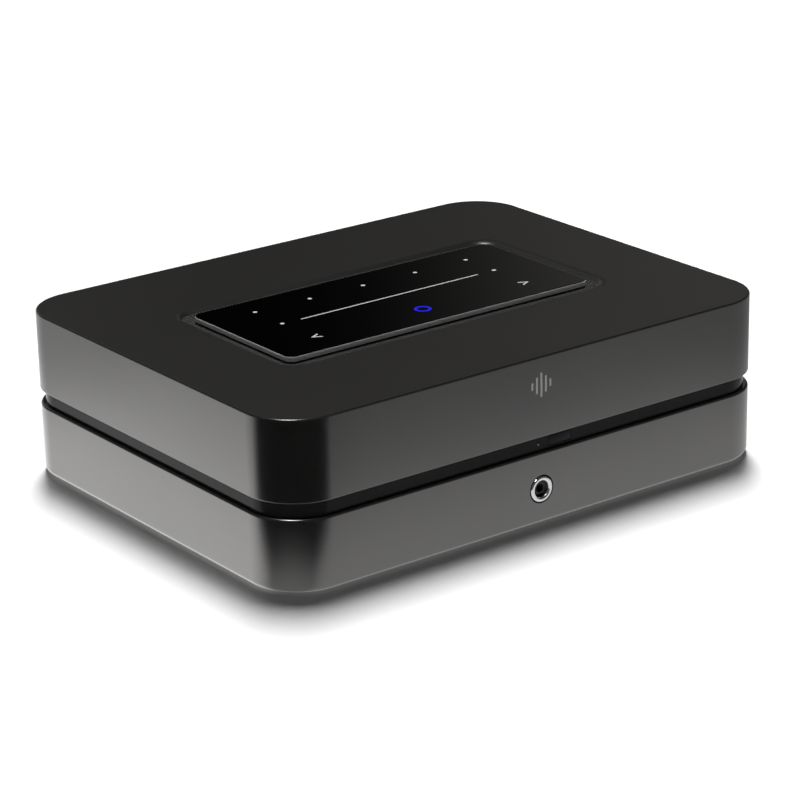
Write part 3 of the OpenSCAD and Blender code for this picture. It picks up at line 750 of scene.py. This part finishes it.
# ------------------------------------------------------------------ floor
grid = bmesh.new()
bmesh.ops.create_grid(grid, x_segments=8, y_segments=8, size=0.5)
floor = add_object("floor", grid)
floor.scale = (40, 40, 1)
paper = material("floor_paper", color=(0.86, 0.86, 0.86), rough=0.9, var=0.004, grain=200,
                 bump=0.0, spec=0.0)
floor.data.materials.append(paper)


def floor_mirror(tree):
    """Emission that the satin sides mirror: a left and a front light card, by direction round
    a point near the front left corner, and a glow along the case. Lengths are in metres."""
    corner_x, corner_y = -0.113, -0.083
    half_x, half_y = 0.125, 0.095      # rectangle the distances are measured from
    left_end = (141, 158)              # degrees over which the left card fades out
    front_start = (-66, -54)           # degrees over which the front card fades in
    left_far, left_near = 0.75, 0.95   # strength far out, and what is added near the case
    front_far, front_near = 0.28, 0.50
    glow_strength, least = 0.55, 0.012
    m, step = tree.math, tree.step

    place = tree.add("SeparateXYZ", {0: tree.add("NewGeometry")["Position"]})
    x, y = place["X"], m("ADD", place["Y"], -CENTRE_Y * MM)
    angle = m("ARCTAN2", m("ADD", y, -corner_y), m("ADD", x, -corner_x))
    degrees = m("MULTIPLY", angle, 57.29578)
    dx = m("MAXIMUM", m("SUBTRACT", m("ABSOLUTE", x), half_x), 0.0)
    dy = m("MAXIMUM", m("SUBTRACT", m("ABSOLUTE", y), half_y), 0.0)
    distance = m("SQRT", m("ADD", m("MULTIPLY", dx, dx), m("MULTIPLY", dy, dy)))
    near = step(distance, 0.0, 0.17, 1.0, 0.0)
    close = step(distance, 0.0, 0.085, 1.0, 0.0)

    def moved(edge, by):
        """Card edge in degrees, moved where the floor is close to the case."""
        return m("ADD", m("MULTIPLY", close, by), edge)

    def card(shape, far, extra):
        return m("MULTIPLY", shape, m("ADD", far, m("MULTIPLY", near, extra)))

    # the left card's angles run on past 180 degrees
    turned = m("MULTIPLY", m("LESS_THAN", degrees, -100.0), 360.0)
    wrapped = m("ADD", degrees, turned)
    left = tree.window(wrapped, 20, 60, moved(left_end[0], -6.0), moved(left_end[1], 50.0))
    front = tree.window(degrees, moved(front_start[0], -64.0), moved(front_start[1], -14.0),
                        20, 60)
    cards = m("ADD", card(left, left_far, left_near), card(front, front_far, front_near))
    glow = m("MULTIPLY", step(distance, 0.0, 0.056, 1.0, 0.0), glow_strength)
    strength = m("ADD", m("MAXIMUM", cards, glow), least)
    return tree.add("Emission", {"Strength": strength})[0], distance


floor_tree = Tree(paper.node_tree)
mirrored, case_distance = floor_mirror(floor_tree)
rays = floor_tree.add("LightPath")
# seen directly, the paper runs out into the white of the room, so there is no horizon
white = floor_tree.add("Emission", {"Color": (1, 1, 1, 1), "Strength": 1.0})[0]
fade = floor_tree.math("MULTIPLY", rays["Is Camera Ray"],
                       floor_tree.step(case_distance, 0.45, 1.3))
seen = floor_tree.add("MixShader", {
    0: fade, 1: floor_tree.nodes["Principled BSDF"].outputs[0], 2: white})[0]
surface = floor_tree.add("MixShader", {0: rays["Is Glossy Ray"], 1: seen, 2: mirrored})[0]
floor_tree.feed(floor_tree.nodes["Material Output"], {"Surface": surface})


# ------------------------------------------------------------------ world
def mirrored_room(tree, azimuth, z):
    """Strength of the mirrored world; azimuth in degrees, 0 at +x and 90 at +y."""
    room = 0.085                      # strength all round
    dark_share, dim_share = 0.97, 0.6
    spot_strength, lift_strength = 0.14, 0.22
    m, step, window = tree.math, tree.step, tree.window
    low = step(z, 0.45, 0.60, 1.0, 0.0)
    dark = m("MULTIPLY", low, window(azimuth, 46, 56, 59, 66))
    spot = m("MULTIPLY", low, m("MULTIPLY", step(azimuth, 45, 54, 1.0, 0.0),
                                step(azimuth, 40, 46)))
    dim = window(azimuth, -10, 10, 32, 44)
    lift = m("MULTIPLY", low, window(azimuth, 62, 70, 90, 110))
    base = m("ADD", m("MULTIPLY", lift, lift_strength),
             m("MULTIPLY", room, m("SUBTRACT", 1.0, m("MULTIPLY", dark, dark_share))))
    lit = m("MULTIPLY", m("ADD", base, m("MULTIPLY", spot, spot_strength)),
            m("SUBTRACT", 1.0, m("MULTIPLY", dim, dim_share)))
    return m("MULTIPLY", lit, step(z, 0.42, 0.62, 1.0, 0.5))


world = bpy.data.worlds.new("studio")
scene.world = world
world.use_nodes = True
world.node_tree.nodes.clear()
sky = Tree(world.node_tree)
direction = sky.add("SeparateXYZ", {0: sky.add("TexCoord")["Generated"]})
azimuth = sky.math("MULTIPLY", sky.math("ARCTAN2", direction["Y"], direction["X"]), 57.29578)
rays = sky.add("LightPath")
WHITE_LIGHT, WARM_LIGHT = (1, 1, 1, 1), (1, 0.97, 0.93, 1)
seen = sky.add("Background", {"Color": WHITE_LIGHT, "Strength": 1.0})[0]
# a low band of soft light round the room fills upright faces and leaves the table alone
AMBIENT, BAND = 0.022, 0.34
fill = sky.add("Background", {"Color": WHITE_LIGHT, "Strength": sky.math(
    "ADD", AMBIENT, sky.step(direction["Z"], 0.10, 0.50, BAND, 0.0))})[0]
mirrored = sky.add("Background", {
    "Color": WARM_LIGHT, "Strength": mirrored_room(sky, azimuth, direction["Z"])})[0]
unseen = sky.add("MixShader", {0: rays["Is Glossy Ray"], 1: fill, 2: mirrored})[0]
shown = sky.add("MixShader", {0: rays["Is Camera Ray"], 1: unseen, 2: seen})[0]
sky.add("OutputWorld", {0: shown})


# ------------------------------------------------------------------ lights
def area_light(name, size, size_y, energy, location, rotation):
    light = bpy.data.lights.new(name, "AREA")
    light.energy = energy
    light.shape = "RECTANGLE"
    light.size = size
    light.size_y = size_y
    obj = bpy.data.objects.new(name, light)
    scene.collection.objects.link(obj)
    obj.location = location
    obj.rotation_euler = rotation
    obj.visible_camera = False
    return obj


# long softbox high above, laid along the view, so the shadow runs out towards the camera
KEY_HEIGHT, KEY_WIDTH, KEY_LEVEL = 10.0, 1.8, 4.1
KEY_START, KEY_END = 0.09, 0.60        # its ends along the view, as shares of the height
VIEW_X, VIEW_Y = 0.598, 0.8015         # level direction of the view
key_middle = (KEY_START + KEY_END) / 2 * KEY_HEIGHT
key = area_light("key_over", size=KEY_WIDTH, size_y=(KEY_END - KEY_START) * KEY_HEIGHT,
                 energy=KEY_LEVEL * math.pi * KEY_HEIGHT**2 / 0.78,
                 location=(VIEW_X * key_middle, VIEW_Y * key_middle, KEY_HEIGHT),
                 rotation=(0, 0, math.atan2(-VIEW_X, VIEW_Y)))
key.visible_glossy = False

# small light that only shows as highlights
SPARK_DISTANCE = 1.2
spark_at = [v * SPARK_DISTANCE for v in (-0.33, -0.15, 0.93)]
spark_aim = Vector((0, 0, 0.03)) - Vector(spark_at)
spark = area_light("edge_spark", size=0.36, size_y=0.36, energy=6.0, location=spark_at,
                   rotation=spark_aim.to_track_quat("-Z", "Y").to_euler())
spark.visible_diffuse = False

# ------------------------------------------------------------------ camera
camera = bpy.data.cameras.new("camera")
camera_obj = bpy.data.objects.new("camera", camera)
scene.collection.objects.link(camera_obj)
camera.lens = 134.277
camera.sensor_width = 36.0
camera.sensor_fit = "HORIZONTAL"
camera.clip_start = 0.01
camera.clip_end = 100
# axes of the camera: backwards, and right and up before the roll
back = Vector((-0.561745, -0.753105, 0.342457)).normalized()
level_right = Vector((0.801573, -0.597897, 0)).normalized()
level_up = back.cross(level_right)
roll = math.radians(-1.18)
right = math.cos(roll)*level_right + math.sin(roll)*level_up
up = -math.sin(roll)*level_right + math.cos(roll)*level_up
pose = Matrix((right, up, back)).transposed().to_4x4()
pose.translation = (-0.705417, -0.949043 + CENTRE_Y * MM, 0.385897 + TOP_Z * MM)
camera_obj.matrix_world = pose
scene.camera = camera_obj
scene.view_settings.view_transform = "Standard"
scene.view_settings.look = "None"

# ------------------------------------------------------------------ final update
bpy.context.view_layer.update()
